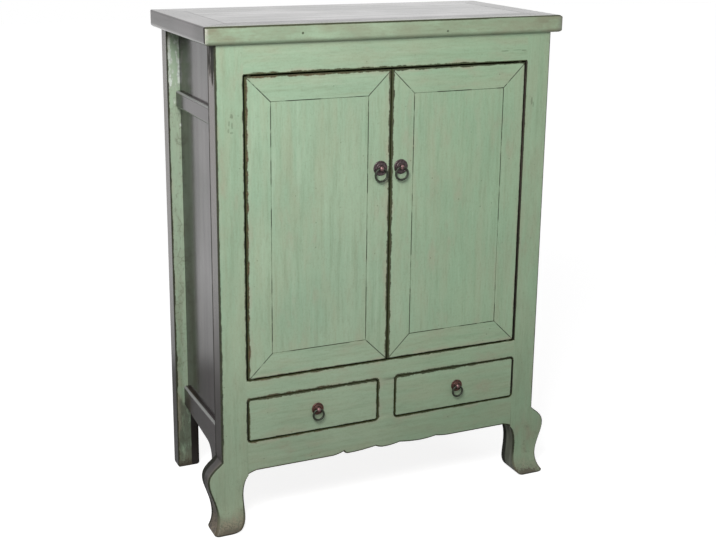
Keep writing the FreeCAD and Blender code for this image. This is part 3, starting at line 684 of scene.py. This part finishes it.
def post_finish(name):
    """A back post's finish: crackled and mottled green ahead, with painted light and glints near the top and
    painted shade at the foot.
    """
    lacquer = GreenLacquer(name, "upright")
    lacquer.scuff()
    x, z, nick = lacquer.x, lacquer.z, lacquer.nick
    mottle = lacquer.place.noise((70, 70, 22), 5.0, 0.7)
    lacquer.lay(mottle.rise(0.45, 0.6) * 0.4, GRIME)
    # painted light: a highlight along the outer edge, and paler towards the top
    painted_edge_highlight = (1 - abs(x).rise(*OUTER_EDGE)) * nick.rise(0.3, 0.6)
    lacquer.lay((painted_edge_highlight * 0.4).most(z.rise(*PAINTED_LIGHT_HEIGHT) * 0.32), POST_PAINTED_LIGHT)
    # painted glints near the top
    painted_glint = (mottle + z.rise(*PAINTED_GLINT_MORE) * 0.16).rise(0.62, 0.7) * z.rise(*PAINTED_GLINT_HEIGHT)
    lacquer.lay(painted_glint * 0.8, PAINTED_GLINT)
    cells = {"Vector": lacquer.place, "Scale": 55.0}
    crack = lacquer.place.make("TexVoronoi", {"feature": "DISTANCE_TO_EDGE"}, cells)
    lacquer.lay((1 - crack.rise(0.02, 0.09)) * mottle.rise(0.46, 0.58) * 0.28, GROUND_OLIVE)
    # painted shade: mottled and darker towards the foot
    lacquer.lay((mottle - z.rise(*PAINTED_SHADE_FOOT_HEIGHT) * 0.5).rise(0.25, 0.5) * 0.75, FOOT_PAINTED_SHADE)
    corners = [Outline(-reach, reach, BELOW_FLOOR, ABOVE_TOP, 0.0) for reach in (frame_half, post_inner)]
    lacquer.wear_lines(corners, width=0.0012, waver=0.0034)
    aside = wear_upright(lacquer, toe_rust(lacquer), toe_cover=0.3)
    inside = 1 - abs(x).rise(groove_middle - GROOVE_SEAM, groove_middle + GROOVE_SEAM)
    flank = z.rise(*SIDE_LIGHTENS).over(SIDE_BLACK, SIDE_BROWN)
    flank = lacquer.ny.rise(0.1, 0.4).over(flank, GROUND_BLACK)
    return lacquer.finish(aside.most(inside), flank)


post_lacquer = post_finish("back_post_lacquer")
for side in ("left", "right"):
    softened("back_" + side + "_post", post_lacquer, post_arris)

# Side rails and panels: thin rails tenoned between leg and post, and panels held in their grooves.
# All in black-brown lacquer polished to a gloss, with pale dust and a painted highlight on the rails' upper
# edges.
PLUM = (0.034, 0.022, 0.024, 1)
WARM_BROWN = (0.075, 0.045, 0.026, 1)
DUST_AND_HIGHLIGHT = (0.3, 0.31, 0.3, 1)
DARK_GRAIN = {"upright": (1.0, 1.0, 0.06), "level": (0.05, 1.0, 1.0), "deep": (1.0, 0.06, 1.0)}
RAIL_ARRIS = 0.0055
RAIL_INNER_ARRIS = 0.001
rail_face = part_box("right_upper_side_rail")[1].x
DUST_AND_HIGHLIGHT_EDGE = (rail_face - 0.007, rail_face - 0.004)


def dark_lacquer(name, grain, clear=0.0, dust_and_light=0.0, ior=1.5):
    """Black-brown lacquer, polished, with faint plum clouds and rubbed brown streaks along the grain."""
    surface = Surface(name)
    fine = surface.place.noise([170 * share for share in DARK_GRAIN[grain]], 4.0, 0.6)
    streak = surface.place.noise([38 * share for share in DARK_GRAIN[grain]], 4.0, 0.55)
    cloud = surface.place.noise((4.0, 4.0, 4.0), 3.0, 0.5)
    colour = cloud.rise(0.4, 0.7).over(SIDE_BLACK, PLUM)
    colour = (streak.rise(0.58, 0.8) * 0.5).over(colour, WARM_BROWN)
    # pale dust and a painted highlight on upward faces near the rails' outer edge
    dust_and_highlight = surface.nz.rise(0.3, 0.6) * abs(surface.x).rise(*DUST_AND_HIGHLIGHT_EDGE) * dust_and_light
    colour = dust_and_highlight.over(colour, DUST_AND_HIGHLIGHT)
    polish = clear * (streak.rise(0.35, 0.65) * 0.6 + cloud.rise(0.4, 0.65) * 0.4)
    rough = 0.09 + streak * 0.14 + fine * 0.04 + dust_and_highlight * 0.4
    bump = surface.bump(fine * 0.2 + streak * 0.5, strength=0.12, depth=0.001)
    return surface.feed(Base_Color=colour, Roughness=rough, Coat_Weight=polish, Coat_Roughness=0.06,
                        Coat_IOR=1.45, IOR=ior, Normal=bump)


def rail_arris(point):
    """Rounds the corners that show, and only breaks the others."""
    return RAIL_ARRIS if abs(point.x) > rail_face - NEAR_FACE else RAIL_INNER_ARRIS


def coat_node(node, finish):
    """Gives a node that keeps its own mesh its finish."""
    for slot in frame["nodes"][node].material_slots:
        slot.material = finish


panel_dark = dark_lacquer("panel_lacquer", "upright", clear=0.3, ior=1.43)
rail_dark = dark_lacquer("side_rail_lacquer", "deep", dust_and_light=0.8)
for side in ("left", "right"):
    for rail in ("_upper_side_rail", "_side_apron"):
        softened(side + rail, rail_dark, rail_arris)
    for panel in ("_upper_side_panel", "_lower_side_panel"):
        coat_node(side + panel, panel_dark)

# Top: a mitred frame round a flush panel, moulded underneath and held on the posts' tenons.
# Black-brown gloss lacquer above and on the ends; only the front edge is green, soiled towards its ends,
# with painted shade on its rounded right end and a worn, painted highlight at its left corner.
TOP_ARRIS = 0.0006
END_ROUND = 0.011
END_STEPS = 5
END_PAINTED_SHADE = (0.17, 0.17, 0.15, 1)
END_WEAR_AND_HIGHLIGHT = (0.56, 0.57, 0.5, 1)
END_DIRT_AND_LIGHT = 0.6
# Places along the front edge between which its ends turn brown, grey and pale
SOILED_OUTWARD = (0.3, 0.46)
GREY_RIGHT_END = (0.44, 0.455)
PALE_LEFT_END = (-0.459, -0.447)
PAST_ENDS = 2
TOP_MARKS = [(-0.2298, 1.2017, 0.003, 0.003, 0.9), (0.1381, 1.1936, 0.003, 0.003, 0.8)]
top_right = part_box("top_front_rail")[1]


def top_arris(point):
    """Breaks every edge by the same small width."""
    return TOP_ARRIS


def top_edge_finish(name):
    """Green lacquer on the top's front edge, browner than the front and worn along its upper arris."""
    lacquer = GreenLacquer(name, "level", tan=0.42)
    x, nick = lacquer.x, lacquer.nick
    lacquer.lay(END_DIRT_AND_LIGHT * abs(x).rise(*SOILED_OUTWARD) * lacquer.patch.rise(0.3, 0.6), GRIME)
    # painted shade on the rounded right end
    lacquer.lay(END_DIRT_AND_LIGHT * x.rise(*GREY_RIGHT_END), END_PAINTED_SHADE)
    # worn edge and painted highlight at the left corner
    lacquer.lay(END_DIRT_AND_LIGHT * (1 - x.rise(*PALE_LEFT_END)) * (0.5 + nick.rise(0.4, 0.6)), END_WEAR_AND_HIGHLIGHT)
    lacquer.scuff()
    lacquer.mark(TOP_MARKS)
    upper_arris = Outline(-PAST_ENDS, PAST_ENDS, BELOW_FLOOR, top_right.z, 0.0)
    lacquer.wear_lines([upper_arris], width=0.0034, waver=0.0006, fringe=0.1)
    return board_finish(lacquer, turn=(0.05, 0.3))


end_clips = []
for step in range(END_STEPS):
    angle = math.pi / 2 * (step + 0.5) / END_STEPS
    outward = Vector((math.cos(angle), 0, math.sin(angle)))
    centre = Vector((top_right.x - END_ROUND, 0, top_right.z - END_ROUND))
    end_clips.append((centre + outward * END_ROUND, outward))
top_dark = dark_lacquer("top_lacquer", "level", clear=0.6, ior=1.6)
end_dark = dark_lacquer("top_end_lacquer", "deep", clear=0.3, ior=1.4)
softened("top_front_rail", top_edge_finish("top_edge_lacquer"), top_arris, clips=end_clips)
softened("top_back_rail", top_dark, top_arris, clips=end_clips)
softened("top_left_end", end_dark, top_arris)
softened("top_right_end", end_dark, top_arris)
softened("top_panel", top_dark, top_arris)

# Inside and back: a shelf on cleats, a floor, drawer runners, drawer boxes, battens and a panelled back.
# Planed timber, left unlacquered and oiled brown.
# The back rails are tenoned into the posts; panels and drawer bottoms sit in grooves.
TIMBER = (0.29, 0.175, 0.09, 1)
TIMBER_DARK = (0.15, 0.082, 0.04, 1)
TIMBER_PALE = (0.4, 0.27, 0.15, 1)
TIMBER_GRAIN = {"upright": (1.0, 1.0, 0.05), "level": (0.05, 1.0, 1.0), "deep": (1.0, 0.05, 1.0)}
RINGS = 60.0


def bare_timber(name, grain):
    """Oiled timber with growth rings drawn out along the grain, clouds and pores."""
    surface = Surface(name)
    ring = surface.place.noise([26 * share for share in TIMBER_GRAIN[grain]], 2.0, 0.5)
    figure = (ring * RINGS).sine() * 0.5 + 0.5
    pore = surface.place.noise([320 * share for share in TIMBER_GRAIN[grain]], 3.0, 0.6)
    cloud = surface.place.noise((5.0, 5.0, 5.0), 3.0, 0.5)
    colour = figure.over(TIMBER, TIMBER_DARK)
    colour = (cloud.rise(0.4, 0.7) * 0.6).over(colour, TIMBER_PALE)
    colour = (pore.rise(0.55, 0.75) * 0.6).over(colour, TIMBER_DARK)
    bump = surface.bump(figure * 0.3 - pore, strength=0.3, depth=0.0008)
    return surface.feed(Base_Color=colour, Roughness=0.55 + pore * 0.25, Normal=bump)


grain_of = {"shelf": "level", "cabinet_floor": "level", "shelf_cleats": "deep", "drawer_runners": "deep",
            "top_battens": "deep", "top_side_rails": "deep", "back_rails": "level", "back_panels": "upright"}
for drawer in ("left_drawer", "right_drawer"):
    grain_of[drawer + "_sides"] = "deep"
    grain_of[drawer + "_back"] = "level"
    grain_of[drawer + "_bottom"] = "level"
timbers = {grain: bare_timber(grain + "_timber", grain) for grain in TIMBER_GRAIN}
for node, grain in grain_of.items():
    coat_node(node, timbers[grain])

# Doors: mitred frames round flush panels, hung on wooden pivots.
# The green lacquer runs over frame and panel alike.
# Age has opened a hairline at the mitres and round the panel.
TONGUE = 0.008
HAIRLINE_ARRIS = 0.0005
HAIRLINE = (0.0006, 0.0017)
HAIRLINE_RUBBED = 0.0014


def board_arris(outline, elsewhere):
    """Rounds a front board along its outline, and the other edges of its face by a width of their own."""
    def width_of(point):
        if on_outline(point, [outline]):
            return GAP_ARRIS
        return elsewhere if point.y < front_face + NEAR_FACE else 0.0
    return width_of


def draw_hairlines(lacquer, door, panel):
    """Draws the hairline round the panel, rubbed off in places, and the mitres that run from its corners."""
    rubbed_off = 1 - lacquer.place.noise((13, 13, 13), 2.0, 0.5).rise(0.38, 0.5)
    round_panel = outline_distance(lacquer.x, lacquer.z, [panel]) + rubbed_off * HAIRLINE_RUBBED
    stile = (door.right - door.left - panel.right + panel.left) / 2
    rail = (door.top - door.bottom - panel.top + panel.bottom) / 2
    across, up = panel.past_corners(lacquer.x, lacquer.z)
    mitre = abs(across * rail - up * stile) / math.hypot(stile, rail) - across.most(up).least(0.0)
    drawn = 1 - round_panel.least(mitre).rise(*HAIRLINE)
    lacquer.lay(drawn * lacquer.ragged.rise(0.3, 0.45) * 0.9, GROUND_BLACK)


def door_finish(name, grain, door, panel, width, waver):
    """Green lacquer on a door, with its hairlines, worn round the door's edge."""
    lacquer = GreenLacquer(name, grain)
    lacquer.scuff()
    draw_hairlines(lacquer, door, panel)
    lacquer.wear_lines([door._replace(corner=DOOR_CORNER)], width, waver)
    return board_finish(lacquer)


for name in ("left_door", "right_door"):
    stile_low, stile_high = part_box(name + "_meeting_stile")
    hinge_low, hinge_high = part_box(name + "_hinge_stile")
    panel_low, panel_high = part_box(name + "_panel")
    pin_low, pin_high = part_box(name + "_pull_pin")
    through_pin = [((pin_low + pin_high) / 2, (0, 0, 1))]
    door = Outline(min(stile_low.x, hinge_low.x), max(stile_high.x, hinge_high.x),
                   stile_low.z, stile_high.z, 0.0)
    panel = Outline(panel_low.x + TONGUE, panel_high.x - TONGUE,
                    panel_low.z + TONGUE, panel_high.z - TONGUE, 0.0)
    arris = board_arris(door, HAIRLINE_ARRIS)
    upright = door_finish(name + "_stile_lacquer", "upright", door, panel, width=0.0034, waver=0.0036)
    level = door_finish(name + "_rail_lacquer", "level", door, panel, width=0.002, waver=0.003)
    softened(name + "_meeting_stile", upright, arris, through_pin)
    softened(name + "_hinge_stile", upright, arris)
    softened(name + "_panel", upright, arris)
    softened(name + "_top_rail", level, arris)
    softened(name + "_bottom_rail", level, arris)

# Drawer fronts: solid boards with rounded corners, lapped over the drawers' sides.
# They are green on the face only; their edges darken from olive to black.
for name in ("left_drawer", "right_drawer"):
    low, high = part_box(name + "_front")
    face = Outline(low.x, high.x, low.z, high.z, DRAWER_CORNER)
    pin_low, pin_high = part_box(name + "_pull_pin")
    through_pin = [((pin_low + pin_high) / 2, (1, 0, 0))]
    lacquer = GreenLacquer(name + "_front_lacquer", "level")
    lacquer.scuff()
    lacquer.wear_lines([face], width=0.0018, waver=0.0028, fringe=0.25)
    softened(name + "_front", board_finish(lacquer), board_arris(face, elsewhere=0.0), through_pin)

# Ring pulls: a turned bronze plate, a ball-headed split pin clinched behind the board and an iron ring.
# The plates are dark with old patina, the pins' heads rubbed rosy by hands and the rings green-black.
PLATE_PLUM = (0.085, 0.06, 0.062, 1)
PLATE_RED = (0.13, 0.055, 0.04, 1)
PLATE_DARK = (0.02, 0.014, 0.013, 1)
BALL_ROSE = (0.3, 0.17, 0.17, 1)
RING_IRON = (0.012, 0.013, 0.009, 1)
RING_GREEN = (0.028, 0.036, 0.02, 1)


def old_metal(name, light, dark, shine):
    """Handled metal, mottled with dark patina that also dulls it."""
    surface = Surface(name)
    patina = surface.place.noise((260, 260, 260), 4.0, 0.6)
    colour = patina.rise(0.35, 0.7).over(light, dark)
    bump = surface.bump(patina, strength=0.25, depth=0.0006)
    return surface.feed(Base_Color=colour, Roughness=0.3 + patina * 0.3, Metallic=shine, Normal=bump)


plate_metals = {"door": old_metal("door_plate_bronze", PLATE_PLUM, PLATE_DARK, shine=0.6),
                "drawer": old_metal("drawer_plate_bronze", PLATE_RED, PLATE_DARK, shine=0.6)}
pin_metal = old_metal("pin_bronze", BALL_ROSE, PLATE_DARK, shine=0.75)
ring_metal = old_metal("ring_iron", RING_GREEN, RING_IRON, shine=0.4)
for side in ("left", "right"):
    for board, plate_metal in plate_metals.items():
        pull = side + "_" + board + "_pull_"
        coat_node(pull + "plate", plate_metal)
        coat_node(pull + "pin", pin_metal)
        coat_node(pull + "ring", ring_metal)

# Floor: a plain pale studio floor that keeps the cabinet's shadow.
# It glows white to the camera and, away from the feet, in the gloss of the sides.
FLOOR_REACH = 12.0
FLOOR_GREY = (0.5, 0.5, 0.5, 1)
BLACK = (0, 0, 0, 1)
WHITE = (1, 1, 1, 1)
GLOW_SEEN = 0.85
# Distances from the floor's middle between which its glow in the gloss sets in
GLOW_BEGINS = (1.03, 1.28)
GLOW_FULL = (1.2, 2.1)
floor_paint = Surface("studio_floor")
seen = floor_paint.place.make("LightPath", output="Is Camera Ray")
mirrored = floor_paint.place.make("LightPath", output="Is Glossy Ray")
away = floor_paint.place.make("VectorMath", {"operation": "LENGTH"}, {0: floor_paint.place}, "Value")
reflected = mirrored * (away.rise(*GLOW_BEGINS) * 0.55 + away.rise(*GLOW_FULL) * 0.45)
glow = (seen * GLOW_SEEN + reflected).over(BLACK, WHITE)
floor_paint.feed(Base_Color=FLOOR_GREY, Roughness=0.9, Emission_Color=glow, Emission_Strength=1.0)
floor_mesh = bpy.data.meshes.new("studio_floor")
floor_corners = [(x * FLOOR_REACH, y * FLOOR_REACH, 0) for x, y in ((-1, -1), (1, -1), (1, 1), (-1, 1))]
floor_mesh.from_pydata(floor_corners, [], [(0, 1, 2, 3)])
floor_mesh.materials.append(floor_paint.material)
floor = bpy.data.objects.new("studio_floor", floor_mesh)
bpy.context.collection.objects.link(floor)

# Studio light: a large soft lamp high on the left, a weak one on the right, and a dim room all round.
# The room looks white to the camera and in reflections without lighting the cabinet more.
AMBIENT = 0.2
world = bpy.data.worlds.new("studio")
bpy.context.scene.world = world
world.use_nodes = True
strand = Strand(world.node_tree)
camera_ray = strand.make("LightPath", output="Is Camera Ray")
glossy_ray = strand.make("LightPath", output="Is Glossy Ray")
through_ray = strand.make("LightPath", output="Is Transmission Ray")
room = camera_ray.most(glossy_ray).most(through_ray) * (1 - AMBIENT) + AMBIENT
background = world.node_tree.nodes["Background"]
background.inputs["Color"].default_value = WHITE
world.node_tree.links.new(room.socket, background.inputs["Strength"])


def soft_lamp(name, place, aim, size, power):
    """A square lamp that lights the cabinet and stays out of the camera's sight."""
    lamp = bpy.data.lights.new(name, "AREA")
    lamp.shape = "SQUARE"
    lamp.size = size
    lamp.energy = power
    lamp_object = bpy.data.objects.new(name, lamp)
    lamp_object.location = place
    lamp_object.rotation_euler = (Vector(aim) - Vector(place)).to_track_quat("-Z", "Y").to_euler()
    lamp_object.visible_camera = False
    bpy.context.collection.objects.link(lamp_object)


soft_lamp("key", place=(-1.2, -1.6, 2.3), aim=(-0.2, -0.2, 1.05), size=1.0, power=58)
soft_lamp("fill", place=(2.4, -2.6, 1.8), aim=(0, 0, 0.8), size=2.0, power=6)

# Camera: at the photograph's place, a little above the cabinet and to its left.
# Its place in metres and its angles in degrees are fitted to the cabinet's edges in the photograph.
CAMERA_PLACE = (-1.2749, front_face - 2.6112, 1.5057)
CAMERA_ANGLES = (74.596, -0.630, -24.353)
camera = bpy.data.cameras.new("camera")
camera.sensor_width = 36
camera.lens = 62.488
camera.shift_y = -0.04888
camera_object = bpy.data.objects.new("camera", camera)
turned = Euler([math.radians(angle) for angle in CAMERA_ANGLES])
camera_object.matrix_world = Matrix.LocRotScale(Vector(CAMERA_PLACE), turned, None)
bpy.context.collection.objects.link(camera_object)
bpy.context.scene.camera = camera_object
bpy.context.scene.view_settings.view_transform = "Standard"
